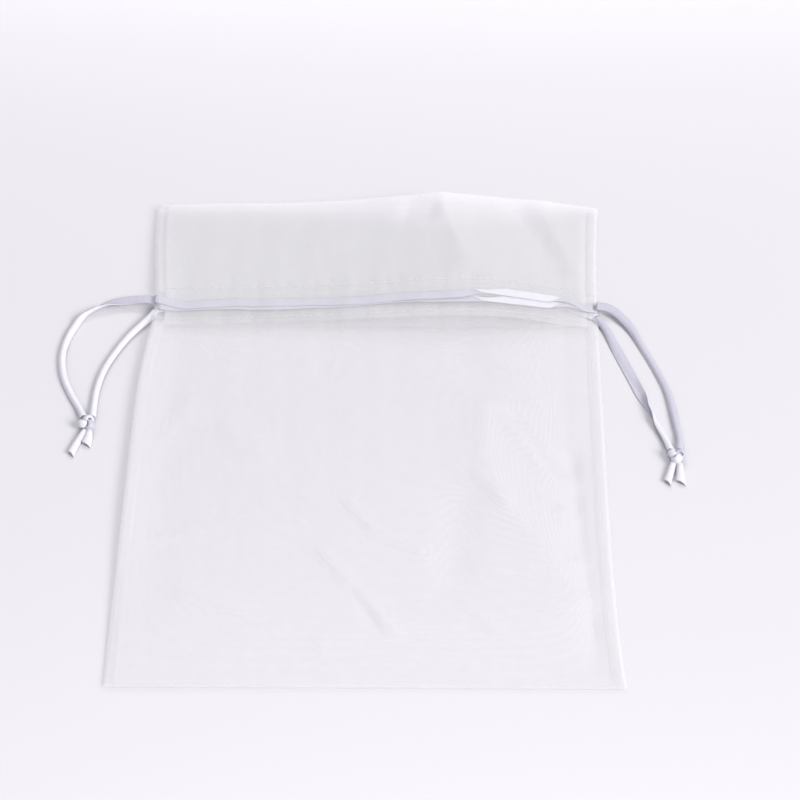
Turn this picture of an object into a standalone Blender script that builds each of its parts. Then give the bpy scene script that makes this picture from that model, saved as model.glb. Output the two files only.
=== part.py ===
"""Sheer drawstring pouch, lying flat on its back wall.

A strip of organza is folded at the bottom and sewn up both sides. Its top is turned
in to make a header, and two rows of stitching below the header close a channel.
Two satin ribbons run through the channel. Each goes in at one side, along the front
wall, round inside the far side seam and back along the back wall, and its two ends
are knotted together outside as a pull loop.

+X is the wearer's right when the front wall faces up, +Y points from the bottom fold
to the mouth, and +Z is up. The origin is under the middle of the cloth, on the surface.
Metres.
"""
import math

import bmesh
import bpy
from mathutils import Vector

MM = 0.001

# --- driving dimensions -------------------------------------------------------------
BAG_WIDTH = 130 * MM
BAG_LENGTH = 180 * MM
HEADER_DEPTH = 37 * MM          # mouth to the upper row of stitches
CHANNEL_WIDTH = 12.5 * MM       # between the two rows of stitches
CLOTH = 0.2 * MM                # thickness of a layer, also of the ribbon
GAP = 0.3 * MM                  # clearance between layers that touch

SEAM_WIDTH = 3.0 * MM           # side seam allowance, folded in
SEAM_THICKNESS = 0.4 * MM
SEAM_LINE = 0.6 * MM            # stitches to the allowance's inner edge
THREAD = 0.2 * MM               # thread diameter

RIBBON_WIDTH = 3.0 * MM
RIBBON_DROP = 5.5 * MM          # upper row of stitches to the middle of the two ribbons

STRAND_DIAMETER = 2.0 * MM      # the ribbon curls into a roll outside the channel
TAIL_DIAMETER = 1.6 * MM
KNOT_LENGTH = 5.6 * MM
KNOT_WIDTH = 5.2 * MM
KNOT_HEIGHT = 3.6 * MM
SLIT_LIFT = 0.55 * MM           # the front strand leaves its slit this much higher
KNOT_SPREAD = 0.15 * MM         # spare room beside each strand and tail at a knot

LEFT_WAIST = 2.4 * MM           # how far the drawstring pulls the left edge in
WAIST_REACH = 22 * MM
RIGHT_DRAW = 2.0 * MM           # how far the right edge draws in between its corners

# --- the front wall's puff -----------------------------------------------------------
BASE_PUFF = 1.0 * MM
BOTTOM_FLAT = 22 * MM           # the puff dies away over this much above the fold
# each bump: middle x, middle y, reach along x, reach along y, height
BODY_BUMP = (8 * MM, -16 * MM, 54 * MM, 52 * MM, 4.6 * MM)
NECK_BUMP = (27 * MM, 50 * MM, 32 * MM, 30 * MM, 3.3 * MM)
MOUTH_BUMP = (21 * MM, 88 * MM, 32 * MM, 25 * MM, 3.6 * MM)

# --- free strands: routes in millimetres from their slit, chosen by hand -------------
# (x, y, height of the strand's middle above its resting height)
LEFT_FRONT_ROUTE = [(-3.0, 0.4, 0.4), (-7.0, 0.4, 0.1), (-13.4, -1.3, 0), (-18.8, -5.0, 0),
                    (-22.6, -12.4, 0), (-24.3, -20.5, 0), (-23.4, -28.9, 0), (-20.6, -36.4, 0),
                    (-17.8, -41.8, 0)]
LEFT_BACK_ROUTE = [(-1.7, -2.5, 0), (-3.6, -6.6, 0), (-6.6, -12.2, 0), (-9.6, -18.6, 0),
                   (-12.0, -25.6, 0), (-13.2, -33.0, 0), (-13.5, -40.0, 0)]
LEFT_KNOT_AT = (-14.6, -49.0)
LEFT_LOOP_HEADING = math.radians(-90)
LEFT_LONG_TAIL = (-3.4, -11.0)
LEFT_SHORT_TAIL = (1.5, -7.4)

RIGHT_FRONT_ROUTE = [(2.8, 0.6, 0.4), (5.2, -1.6, 0.1), (8.8, -6.6, 0), (12.4, -15.9, 0),
                     (15.4, -24.2, 0), (17.7, -32.1, 0), (19.1, -42.0, 0), (19.9, -49.8, 0)]
RIGHT_BACK_ROUTE = [(1.9, -3.4, 0), (2.6, -7.0, 0), (3.4, -11.0, 0), (5.2, -18.6, 0),
                    (8.2, -26.6, 0), (11.2, -35.4, 0), (14.0, -43.4, 0), (16.2, -49.6, 0)]
RIGHT_KNOT_AT = (18.6, -57.0)
RIGHT_LOOP_HEADING = math.radians(-84)
RIGHT_LONG_TAIL = (-3.8, -9.2)
RIGHT_SHORT_TAIL = (0.2, -9.0)

# --- what follows from them -----------------------------------------------------------
HALF_WIDTH = BAG_WIDTH / 2
BOTTOM_Y = -BAG_LENGTH / 2
MOUTH_Y = BAG_LENGTH / 2
UPPER_ROW_Y = MOUTH_Y - HEADER_DEPTH
LOWER_ROW_Y = UPPER_ROW_Y - CHANNEL_WIDTH
CHANNEL_Y = (UPPER_ROW_Y + LOWER_ROW_Y) / 2
RIBBONS_Y = UPPER_ROW_Y - RIBBON_DROP
LEFT_RIBBON_Y = RIBBONS_Y + (RIBBON_WIDTH + GAP) / 2
RIGHT_RIBBON_Y = RIBBONS_Y - (RIBBON_WIDTH + GAP) / 2
FACING_END_Y = LOWER_ROW_Y - 1.5 * MM
FACING_INSET = SEAM_WIDTH + GAP

# heights of the layers at the side edges, from the surface up
SEAM_Z = CLOTH + GAP
THREAD_ON_SEAM_Z = SEAM_Z + SEAM_THICKNESS + GAP + THREAD / 2
BODY_EDGE_Z = THREAD_ON_SEAM_Z + THREAD / 2 + GAP
BACK_RIBBON_Z = CLOTH + GAP
BACK_FACING_Z = BACK_RIBBON_Z + CLOTH + GAP
LAYERS = 2 * GAP + 2 * CLOTH    # underside of the front wall down to its facing's underside
NECK_EDGE_Z = BACK_FACING_Z + CLOTH + GAP + LAYERS

FOLD_RADIUS = (BODY_EDGE_Z + CLOTH) / 2
HEM_RADIUS = (LAYERS + CLOTH) / 2
PANEL_START_Y = BOTTOM_Y + FOLD_RADIUS + GAP
PANEL_END_Y = MOUTH_Y - HEM_RADIUS - GAP

COLUMNS = 20                    # cells across the puffed cloth
BODY_ROWS = 22
FACING_ROWS = 8
FOLD_STEPS = 6                  # cells round a half-round fold
STRAND_STEP = 2.2               # spacing of a strand's points, in diameters


def smooth(t):
    """0 before 0, 1 after 1, and an even rise between."""
    t = min(max(t, 0.0), 1.0)
    return t * t * (3 - 2 * t)


def left_edge(y):
    return -HALF_WIDTH + LEFT_WAIST * math.exp(-(((y - CHANNEL_Y) / WAIST_REACH) ** 2))


def right_edge(y):
    return HALF_WIDTH - RIGHT_DRAW * (1 - min(abs(y) / MOUTH_Y, 1.0) ** 4)


def bump(x, y, shape):
    middle_x, middle_y, reach_x, reach_y, height = shape
    return height * math.exp(-(((x - middle_x) / reach_x) ** 2) - ((y - middle_y) / reach_y) ** 2)


def front_z(x, y):
    """Height of the front wall's underside."""
    middle = (left_edge(y) + right_edge(y)) / 2
    half = (right_edge(y) - left_edge(y)) / 2
    across = 1 - min(abs(x - middle) / half, 1.0) ** 6
    along = smooth((y - BOTTOM_Y) / BOTTOM_FLAT)
    puff = BASE_PUFF + bump(x, y, BODY_BUMP) + bump(x, y, NECK_BUMP) + bump(x, y, MOUTH_BUMP)
    neck = smooth((y - LOWER_ROW_Y + 18 * MM) / (14 * MM))
    edge = BODY_EDGE_Z + (NECK_EDGE_Z - BODY_EDGE_Z) * neck
    return edge + across * along * puff


# --- tools ------------------------------------------------------------------------------
def clear_scene():
    for old in list(bpy.data.objects):
        bpy.data.objects.remove(old, do_unlink=True)


def material(name, colour, roughness):
    made = bpy.data.materials.new(name)
    made.use_nodes = True
    shader = made.node_tree.nodes["Principled BSDF"]
    shader.inputs["Base Color"].default_value = (*colour, 1.0)
    shader.inputs["Roughness"].default_value = roughness
    made.diffuse_color = (*colour, 1.0)
    return made


def add_object(name, data, kind, collection):
    made = bpy.data.objects.new(name, data)
    data.materials.append(material(name, *FINISHES[kind]))
    collection.objects.link(made)
    return made


def sheet(name, columns, rows, place, kind, collection, offset=1.0, thickness=CLOTH):
    """A layer of cloth: a grid laid out by place(u, v), thickened above it, or below at -1."""
    bm = bmesh.new()
    bmesh.ops.create_grid(bm, x_segments=columns, y_segments=rows, size=1.0)
    for vert in bm.verts:
        u = (vert.co.x + 1) / 2
        v = (vert.co.y + 1) / 2
        vert.co = place(u, v)
    data = bpy.data.meshes.new(name)
    bm.to_mesh(data)
    bm.free()
    made = add_object(name, data, kind, collection)
    solidify = made.modifiers.new("thickness", "SOLIDIFY")
    solidify.thickness = thickness
    solidify.offset = offset
    return made


def tube(name, points, diameter, kind, collection):
    """A round strand through the points, with flat ends."""
    data = bpy.data.curves.new(name, "CURVE")
    data.dimensions = "3D"
    data.bevel_depth = diameter / 2
    data.bevel_resolution = 2
    data.use_fill_caps = True
    spline = data.splines.new("POLY")
    spline.points.add(len(points) - 1)
    for point, place in zip(spline.points, points):
        point.co = (*place, 1.0)
    return add_object(name, data, kind, collection)


def smooth_route(route, step):
    """Points about a step apart on a smooth curve through the route's own points."""
    points = [Vector(p) for p in route]
    ends = [2 * points[0] - points[1], *points, 2 * points[-1] - points[-2]]
    fine = []
    for a, b, c, d in zip(ends, ends[1:], ends[2:], ends[3:]):
        for n in range(16):
            t = n / 16
            fine.append(0.5 * (2 * b + (c - a) * t + (2 * a - 5 * b + 4 * c - d) * t * t
                               + (3 * b - a - 3 * c + d) * t ** 3))
    fine.append(points[-1])
    total = sum((q - p).length for p, q in zip(fine, fine[1:]))
    count = max(round(total / step), 3)
    even = [fine[0]]
    walked = 0.0
    for p, q in zip(fine, fine[1:]):
        length = (q - p).length
        while len(even) < count and walked + length >= total * len(even) / count:
            even.append(p.lerp(q, (total * len(even) / count - walked) / length))
        walked += length
    even.append(fine[-1])
    even.insert(1, points[1])       # the first stretch stays straight, so its end cap is square
    return even


# --- cloth --------------------------------------------------------------------------------
def across_bag(u, y, inset=0.0):
    left = left_edge(y) + inset
    return left + (right_edge(y) - inset - left) * u


def make_panels(collection):
    def back(u, v):
        y = PANEL_START_Y + (PANEL_END_Y - PANEL_START_Y) * v
        return across_bag(u, y), y, 0.0

    def front(u, v):
        y = PANEL_START_Y + (PANEL_END_Y - PANEL_START_Y) * v
        x = across_bag(u, y)
        return x, y, front_z(x, y)

    sheet("back_panel", 4, BODY_ROWS, back, "organza", collection)
    sheet("front_panel", COLUMNS, BODY_ROWS, front, "organza", collection)


def make_facings(collection):
    def back(u, v):
        y = FACING_END_Y + (PANEL_END_Y - FACING_END_Y) * v
        return across_bag(u, y, FACING_INSET), y, BACK_FACING_Z

    def front(u, v):
        y = FACING_END_Y + (PANEL_END_Y - FACING_END_Y) * v
        x = across_bag(u, y, FACING_INSET)
        return x, y, front_z(x, y) - LAYERS

    sheet("back_facing", 4, FACING_ROWS, back, "organza", collection)
    sheet("front_facing", COLUMNS, FACING_ROWS, front, "organza", collection)


def make_folds(collection):
    def bottom(u, v):
        turn = math.pi * (v - 0.5)
        y = BOTTOM_Y + FOLD_RADIUS * (1 - math.cos(turn))
        return across_bag(u, BOTTOM_Y), y, FOLD_RADIUS * (1 + math.sin(turn))

    def hem(middle_z):
        def place(u, v):
            turn = math.pi * (v - 0.5)
            y = MOUTH_Y - HEM_RADIUS * (1 - math.cos(turn))
            x = across_bag(u, MOUTH_Y, FACING_INSET)
            return x, y, middle_z(x) + HEM_RADIUS * math.sin(turn)
        return place

    def front_middle(x):
        return front_z(x, MOUTH_Y - HEM_RADIUS) + CLOTH - HEM_RADIUS

    # the thickness goes to the inside of each half-round
    sheet("bottom_fold", 4, FOLD_STEPS, bottom, "organza", collection, offset=-1.0)
    sheet("back_mouth_fold", 4, FOLD_STEPS, hem(lambda x: HEM_RADIUS), "organza", collection)
    sheet("front_mouth_fold", COLUMNS, FOLD_STEPS, hem(front_middle), "organza", collection)


def make_seams(collection):
    spans = {"body": (PANEL_START_Y, LOWER_ROW_Y, 12), "header": (UPPER_ROW_Y, PANEL_END_Y, 4)}
    for side, edge, inward in (("left", left_edge, 1), ("right", right_edge, -1)):
        for part, (start, end, rows) in spans.items():
            def place(u, v, edge=edge, inward=inward, start=start, end=end):
                y = start + (end - start) * v
                across = u if inward > 0 else 1 - u
                return edge(y) + inward * SEAM_WIDTH * across, y, SEAM_Z

            def line(t, edge=edge, inward=inward, start=start, end=end):
                y = start + GAP + (end - start - 2 * GAP) * t
                return edge(y) + inward * (SEAM_WIDTH - SEAM_LINE), y, THREAD_ON_SEAM_Z

            sheet(f"{side}_{part}_seam", 1, rows, place, "organza", collection,
                  thickness=SEAM_THICKNESS)
            steps = 2 * rows
            tube(f"{side}_{part}_stitches", [line(n / steps) for n in range(steps + 1)],
                 THREAD, "thread", collection)


def make_channel_stitches(collection):
    """Each row lies between the wall and its facing, where it closes the channel."""
    for row, y in (("upper", UPPER_ROW_Y), ("lower", LOWER_ROW_Y)):
        back = []
        front = []
        for n in range(2 * COLUMNS + 1):
            x = across_bag(n / (2 * COLUMNS), y, FACING_INSET)
            front.append((x, y, front_z(x, y) - LAYERS / 2))
            if n % 10 == 0:
                back.append((x, y, CLOTH + LAYERS / 2))
        tube(f"front_{row}_stitches", front, THREAD, "thread", collection)
        tube(f"back_{row}_stitches", back, THREAD, "thread", collection)


# --- ribbons ---------------------------------------------------------------------------------
def make_drawstring(side, middle_y, collection):
    """Front run, turn inside the far side seam, back run: one strip, thickened inward."""
    out = 1 if side == "right" else -1
    exit_x = slit(side, middle_y)[0]
    far_edge = left_edge(middle_y) if side == "right" else right_edge(middle_y)
    radius = (NECK_EDGE_Z - GAP - BACK_RIBBON_Z) / 2
    turn_x = far_edge + out * (GAP + radius)
    runs = COLUMNS + 4
    last = 2 * runs + FOLD_STEPS

    def place(u, v):
        step = round(u * last)
        y = middle_y + RIBBON_WIDTH * (v - 0.5)
        if step <= runs:
            x = exit_x + (turn_x - exit_x) * step / runs
            return x, y, front_z(x, y) - GAP
        if step >= runs + FOLD_STEPS:
            x = turn_x + (exit_x - turn_x) * (step - runs - FOLD_STEPS) / runs
            return x, y, BACK_RIBBON_Z
        turn = math.pi * (step - runs) / FOLD_STEPS
        x = turn_x - out * radius * math.sin(turn)
        return x, y, BACK_RIBBON_Z + radius * (1 + math.cos(turn))

    # the grid's upper side faces out of the turn on the left ribbon and into it on the right
    sheet(f"{side}_drawstring", last, 1, place, "satin", collection, offset=out)


def slit(side, middle_y):
    """Where a ribbon's inside stretch ends, at the edge of the cloth."""
    if side == "right":
        return right_edge(middle_y) + GAP / 2, middle_y
    return left_edge(middle_y) - GAP / 2, middle_y


def make_loop(side, middle_y, collection):
    """Two free strands from the slit to a knot, and the two cut tails beyond it."""
    out = 1 if side == "right" else -1
    slit_x, slit_y = slit(side, middle_y)
    front_route, back_route, knot_at, heading, long_tail, short_tail = LOOPS[side]
    rest_z = STRAND_DIAMETER / 2 + GAP / 3
    beside = (STRAND_DIAMETER + GAP) / 2 + KNOT_SPREAD
    knot = Vector((slit_x + knot_at[0] * MM, slit_y + knot_at[1] * MM, KNOT_HEIGHT / 2))
    along = Vector((math.cos(heading), math.sin(heading), 0))
    outward = out * Vector((-along.y, along.x, 0))
    reach = KNOT_LENGTH / 2 + GAP
    for name, route, place, lift in (("front", front_route, 1, SLIT_LIFT),
                                     ("back", back_route, -1, 0.0)):
        start = Vector((slit_x + out * GAP, slit_y + place * beside, rest_z + lift))
        end = knot - along * reach + outward * (place * beside)
        end.z = rest_z
        points = [start, start + Vector((out * STRAND_DIAMETER / 2, 0, 0))]
        for x, y, z in route:
            points.append(Vector((slit_x + x * MM, slit_y + y * MM, rest_z + z * MM)))
        points.append(end)
        tube(f"{side}_{name}_strand", smooth_route(points, STRAND_STEP * STRAND_DIAMETER),
             STRAND_DIAMETER, "satin", collection)
    make_knot(f"{side}_knot", knot, heading, collection)
    apart = (TAIL_DIAMETER + GAP) / 2 + KNOT_SPREAD
    for name, tail, place in (("long", long_tail, -out), ("short", short_tail, out)):
        start = knot + along * reach + outward * (place * apart)
        start.z = TAIL_DIAMETER / 2 + GAP / 3
        end = Vector((knot.x + tail[0] * MM, knot.y + tail[1] * MM, start.z))
        points = [start, start.lerp(end, 0.5), end]
        tube(f"{side}_{name}_tail", points, TAIL_DIAMETER, "satin", collection)


def make_knot(name, middle, heading, collection):
    data = bpy.data.meshes.new(name)
    bm = bmesh.new()
    bmesh.ops.create_uvsphere(bm, u_segments=14, v_segments=9, radius=0.5)
    bmesh.ops.scale(bm, verts=bm.verts, vec=(KNOT_LENGTH, KNOT_WIDTH, KNOT_HEIGHT))
    bm.to_mesh(data)
    bm.free()
    data.shade_smooth()
    made = add_object(name, data, "satin", collection)
    made.location = middle
    made.rotation_euler.z = heading


FINISHES = {
    "organza": ((0.86, 0.86, 0.89), 0.55),
    "thread": ((0.90, 0.90, 0.92), 0.70),
    "satin": ((0.80, 0.80, 0.88), 0.30),
}
LOOPS = {
    "left": (LEFT_FRONT_ROUTE, LEFT_BACK_ROUTE, LEFT_KNOT_AT, LEFT_LOOP_HEADING,
             LEFT_LONG_TAIL, LEFT_SHORT_TAIL),
    "right": (RIGHT_FRONT_ROUTE, RIGHT_BACK_ROUTE, RIGHT_KNOT_AT, RIGHT_LOOP_HEADING,
              RIGHT_LONG_TAIL, RIGHT_SHORT_TAIL),
}


def build():
    clear_scene()
    collection = bpy.data.collections.new("drawstring_pouch")
    bpy.context.scene.collection.children.link(collection)
    make_panels(collection)
    make_facings(collection)
    make_folds(collection)
    make_seams(collection)
    make_channel_stitches(collection)
    for side, middle_y in (("left", LEFT_RIBBON_Y), ("right", RIGHT_RIBBON_Y)):
        make_drawstring(side, middle_y, collection)
        make_loop(side, middle_y, collection)


build()
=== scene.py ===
# %% [markdown]
# # A sheer drawstring pouch
# The pouch lies flat on a pale table. It is a strip of organza, folded at the bottom and
# sewn up both sides, with a header above a stitched channel. Two satin ribbons run through
# the channel and end in a knotted pull loop at each side. The engineering model already
# fixes every size, so the lesson only builds what the eye sees around it.

# %% Load the fixed frame
import math

import bmesh
import bpy
from mathutils import Matrix, Vector


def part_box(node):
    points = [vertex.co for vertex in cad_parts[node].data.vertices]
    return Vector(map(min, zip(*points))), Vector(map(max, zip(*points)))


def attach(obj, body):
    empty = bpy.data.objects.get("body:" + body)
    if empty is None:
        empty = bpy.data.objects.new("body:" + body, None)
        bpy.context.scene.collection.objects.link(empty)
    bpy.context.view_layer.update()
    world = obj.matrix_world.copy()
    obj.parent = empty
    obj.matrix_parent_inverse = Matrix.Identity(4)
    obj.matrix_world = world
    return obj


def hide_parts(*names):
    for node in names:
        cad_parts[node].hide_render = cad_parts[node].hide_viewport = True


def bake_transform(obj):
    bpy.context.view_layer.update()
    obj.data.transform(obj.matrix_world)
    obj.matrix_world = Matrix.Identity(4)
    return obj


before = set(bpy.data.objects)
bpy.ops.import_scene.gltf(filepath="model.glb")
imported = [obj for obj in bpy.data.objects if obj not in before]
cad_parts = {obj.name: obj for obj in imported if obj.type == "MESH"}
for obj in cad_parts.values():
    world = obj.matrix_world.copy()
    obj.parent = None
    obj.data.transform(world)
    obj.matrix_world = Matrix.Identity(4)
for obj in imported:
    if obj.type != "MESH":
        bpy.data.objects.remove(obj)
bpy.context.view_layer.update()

# %% [markdown]
# ## Sizes
# The outline comes from the frame: the bottom fold gives the width, and the stitch rows give
# the channel. The rest are sizes that a maker would measure on the cloth, in millimetres.

# %% Sizes of the pouch
MM = 0.001
LEFT, RIGHT = -1, 1
SIDES = {LEFT: "left", RIGHT: "right"}

fold_low, fold_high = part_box("bottom_fold")
HALF_WIDTH = fold_high.x
BOTTOM_Y = fold_low.y
MOUTH_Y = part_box("front_mouth_fold")[1].y


def row_y(node):
    low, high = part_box(node)
    return (low.y + high.y) / 2


UPPER_ROW_Y = row_y("front_upper_stitches")
LOWER_ROW_Y = row_y("front_lower_stitches")
CHANNEL_Y = (UPPER_ROW_Y + LOWER_ROW_Y) / 2
RIBBON_Y = {LEFT: row_y("left_drawstring"), RIGHT: row_y("right_drawstring")}
FACING_END_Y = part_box("front_facing")[0].y

RIBBON_WIDTH = 3.0 * MM
RIBBON_THICKNESS = 0.16 * MM
SEAM_WIDTH = 3.0 * MM           # side seam allowance, folded in
SEAM_LINE = 0.6 * MM            # its stitches to its inner edge
LEFT_WAIST = 2.4 * MM           # how far the drawstring pulls the left edge in
WAIST_REACH = 22 * MM
RIGHT_DRAW = 2.0 * MM           # how far the right edge draws in between its corners
print("pouch", round(2000 * HALF_WIDTH), "by", round(1000 * (MOUTH_Y - BOTTOM_Y)), "mm")

# %% [markdown]
# ## Camera
# A long lens, looking down at the front of the pouch from a little under halfway up. The
# camera is placed by its aim, its distance and three angles, as on a tripod. It comes first,
# because the free ends of the ribbons are judged against what it sees.

# %% Camera
AIM = Vector((0.0075, 0.0111, 0.0))
DISTANCE = 0.7278
ELEVATION = math.radians(45.2)
AZIMUTH = math.radians(1.01)
ROLL = math.radians(-0.5)
LENS = 119.3


def add_camera():
    back = Vector((math.sin(AZIMUTH) * math.cos(ELEVATION),
                   -math.cos(AZIMUTH) * math.cos(ELEVATION), math.sin(ELEVATION)))
    level = Vector((0, 0, 1)).cross(back).normalized()
    upright = back.cross(level)
    right = level * math.cos(ROLL) + upright * math.sin(ROLL)
    up = upright * math.cos(ROLL) - level * math.sin(ROLL)
    data = bpy.data.cameras.new("camera")
    data.lens = LENS
    data.sensor_width = 36
    camera = bpy.data.objects.new("camera", data)
    camera.matrix_world = (Matrix.Translation(AIM + back * DISTANCE)
                           @ Matrix((right, up, back)).transposed().to_4x4())
    bpy.context.scene.collection.objects.link(camera)
    bpy.context.scene.camera = camera


add_camera()
print("camera at", [round(c, 3) for c in bpy.context.scene.camera.location])

# %% [markdown]
# ## Helpers for thin pieces
# Cloth and ribbon are both grids that have been laid somewhere. `laid_grid` makes a grid with
# bmesh, sends each of its points to a place, and keeps a UV map that is measured in metres of
# flat cloth, so that a weave follows the cloth round every fold.

# %% Helpers: grids and easing
def smooth(t):
    """0 before 0, 1 after 1, and an even rise between."""
    t = min(max(t, 0.0), 1.0)
    return t * t * (3 - 2 * t)


def mix(a, b, t):
    return a + (b - a) * t


def new_piece(name, bm):
    data = bpy.data.meshes.new(name)
    bm.to_mesh(data)
    bm.free()
    data.shade_smooth()
    made = bpy.data.objects.new(name, data)
    bpy.context.scene.collection.objects.link(made)
    return made


def laid_grid(name, columns, rows, place, flat):
    """A grid whose points go to place(u, v), with a UV map of flat(u, v) in metres."""
    bm = bmesh.new()
    layer = bm.loops.layers.uv.new("cloth")
    bmesh.ops.create_grid(bm, x_segments=columns, y_segments=rows, size=1.0)
    shares = {vert: ((vert.co.x + 1) / 2, (vert.co.y + 1) / 2) for vert in bm.verts}
    for face in bm.faces:
        for loop in face.loops:
            loop[layer].uv = flat(*shares[loop.vert])
    for vert, (u, v) in shares.items():
        vert.co = place(u, v)
    return new_piece(name, bm)


# %% Helpers: routes
CURVE_STEPS = 24                # fine steps between two given points


def curve_through(points, step):
    """Points about a step apart on a smooth curve through the given ones."""
    points = [Vector(p) for p in points]
    ends = [2 * points[0] - points[1], *points, 2 * points[-1] - points[-2]]
    fine = []
    for a, b, c, d in zip(ends, ends[1:], ends[2:], ends[3:]):
        for n in range(CURVE_STEPS):
            t = n / CURVE_STEPS
            fine.append(0.5 * (2 * b + (c - a) * t + (2 * a - 5 * b + 4 * c - d) * t * t
                               + (3 * b - a - 3 * c + d) * t ** 3))
    fine.append(points[-1])
    total = route_length(fine)
    count = max(round(total / step), 3)
    even = [fine[0]]
    walked = 0.0
    for p, q in zip(fine, fine[1:]):
        length = (q - p).length
        while len(even) < count and walked + length >= total * len(even) / count:
            even.append(p.lerp(q, (total * len(even) / count - walked) / length))
        walked += length
    even.append(fine[-1])
    return even


def route_length(path):
    return sum((q - p).length for p, q in zip(path, path[1:]))


def along(values, share):
    """Reads a list of evenly spread values at a share of the way, with easing between them."""
    at = share * (len(values) - 1)
    n = min(int(at), len(values) - 2)
    return mix(values[n], values[n + 1], smooth(at - n))


# %% [markdown]
# ## Ribbon
# Satin ribbon is flat in the channel, but outside it curls up along its length, and it rolls
# over as it goes. One function makes every stretch: at each point of a route it bends the
# ribbon's width into an arc (`curl`, in turns), and rolls that arc round the route (`roll`, in
# turns). Solidify then gives the ribbon its two sides, so the shiny face and the dull back
# can be two materials; the back's darker colour is painted shade.

# %% Helpers: a ribbon's two sides, and its bend
ACROSS = 12                     # cells across a ribbon


def two_sided(made):
    """Gives a flat ribbon its thickness, with its second material on the other side."""
    solidify = made.modifiers.new("thickness", "SOLIDIFY")
    solidify.thickness = RIBBON_THICKNESS
    solidify.offset = 0.0
    solidify.material_offset = 1
    solidify.material_offset_rim = 0
    return made


def bent_width(share, curl):
    """Where a point of the ribbon's width goes when the width is bent into an arc."""
    s = (share - 0.5) * RIBBON_WIDTH
    angle = 2 * math.pi * max(abs(curl), 0.001) * (share - 0.5)
    radius = s / angle if abs(angle) > 1e-6 else 0.0
    side = radius * math.sin(angle)
    rise = radius * (1 - math.cos(angle))
    middle = RIBBON_WIDTH / (2 * math.pi * max(abs(curl), 0.001))
    depth = middle * (1 - math.cos(math.pi * min(abs(curl), 1.0)))
    return side, (rise - depth / 2) * (1 if curl > 0 else -1)


# %% Helper: a ribbon along a route
def ribbon_along(name, path, curl, roll, cut=0.0):
    """A ribbon on a route, lying on the table. A cut above 0 trims its end on the slant."""
    total = route_length(path)
    last = len(path) - 1

    def place(u, v):
        n = min(round(u * last), last)
        here = path[n]
        ahead = (path[min(n + 1, last)] - path[max(n - 1, 0)]).normalized()
        beside = ahead.cross(Vector((0, 0, 1))).normalized()
        above = beside.cross(ahead)
        side, rise = bent_width(v, curl(u))
        turn = 2 * math.pi * roll(u)
        across = side * math.cos(turn) - rise * math.sin(turn)
        height = side * math.sin(turn) + rise * math.cos(turn)
        slant = ahead * (cut * (v - 0.5) * smooth((u - 0.5) / 0.5))
        point = here + beside * across + above * height + slant
        point.z = max(point.z, RIBBON_THICKNESS)
        return point

    def flat(u, v):
        return u * total, v * RIBBON_WIDTH

    return two_sided(laid_grid(name, last, ACROSS, place, flat))


# %% [markdown]
# ## Pull loops
# At each slit the two ends of a ribbon come out, curl into soft cords and meet in a knot.
# The routes stay close to the engineering model's own, in millimetres from the slit.

# %% Routes of the free ends
REST_Z = 0.75 * MM              # middle of a curled ribbon that lies on the table
SLIT_OVERLAP = 0.3 * MM         # an end starts this much inside its slit
SLIT = {LEFT: Vector((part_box("left_front_strand")[1].x + SLIT_OVERLAP, RIBBON_Y[LEFT], 0)),
        RIGHT: Vector((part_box("right_front_strand")[0].x - SLIT_OVERLAP, RIBBON_Y[RIGHT], 0))}
ROUTES = {
    (LEFT, "front"): [(0.8, -0.4, 1.3), (-3.0, -0.1, 1.2), (-7.0, -0.1, 0.8),
                      (-13.4, -1.3, 0.3), (-18.8, -5.0, 0), (-22.6, -12.4, 0),
                      (-24.3, -20.5, 0), (-23.4, -28.9, 0), (-20.6, -36.4, 0),
                      (-17.8, -41.8, 0.1), (-15.9, -46.2, 0.6)],
    (LEFT, "back"): [(0.8, -4.6, 0.7), (-0.6, -6.6, 0.6), (-3.2, -9.6, 0.4),
                     (-6.5, -14.2, 0.1), (-9.6, -20.4, 0), (-12.1, -27.2, 0),
                     (-13.4, -34.0, 0), (-13.7, -40.4, 0), (-13.5, -46.2, 0.5)],
    (RIGHT, "front"): [(-0.6, 0.9, 1.5), (2.6, 0.5, 1.3), (5.4, -1.6, 0.8), (8.8, -6.6, 0.2),
                       (12.4, -15.9, -0.3), (15.4, -24.2, -0.3), (17.7, -32.1, -0.2),
                       (19.1, -42.0, 0), (19.9, -49.8, 0.1), (19.5, -54.4, 0.6)],
    (RIGHT, "back"): [(-0.6, -2.4, 0.2), (1.0, -5.0, 0.1), (2.3, -8.0, 0), (3.5, -12.0, -0.2),
                      (5.7, -18.6, -0.45), (8.4, -26.6, -0.45), (11.2, -35.4, -0.3),
                      (14.0, -43.4, 0), (16.2, -49.6, 0.1), (17.3, -54.4, 0.5)],
}
# how tightly each end is curled, and how it is rolled, at even steps from the slit
CURLS = {(LEFT, "front"): [0.06, 0.10, 0.38, 0.46, 0.46, 0.46, 0.48, 0.5],
         (LEFT, "back"): [0.44, 0.46, 0.46, 0.46, 0.46, 0.48, 0.5],
         (RIGHT, "front"): [-0.06, -0.25, -0.42, -0.42, -0.42, -0.42, -0.46, -0.50],
         (RIGHT, "back"): [-0.42, -0.35, -0.14, -0.06, 0.08, 0.30, 0.42, 0.5]}
ROLLS = {(LEFT, "front"): [0.00, 0.00, -0.14, -0.44, -0.54, -0.55, -0.55, -0.52],
         (LEFT, "back"): [-0.40, -0.50, -0.54, -0.55, -0.55, -0.55, -0.52],
         (RIGHT, "front"): [0.00, 0.00, -0.02, -0.03, -0.03, -0.02, 0.00, 0.00],
         (RIGHT, "back"): [0.02, 0.00, -0.02, -0.03, -0.06, -0.22, -0.42, -0.46]}
STRAND_STEP = 0.6 * MM
print("slits at", {word: [round(1000 * c, 1) for c in SLIT[side]] for side, word in SIDES.items()})


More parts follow.
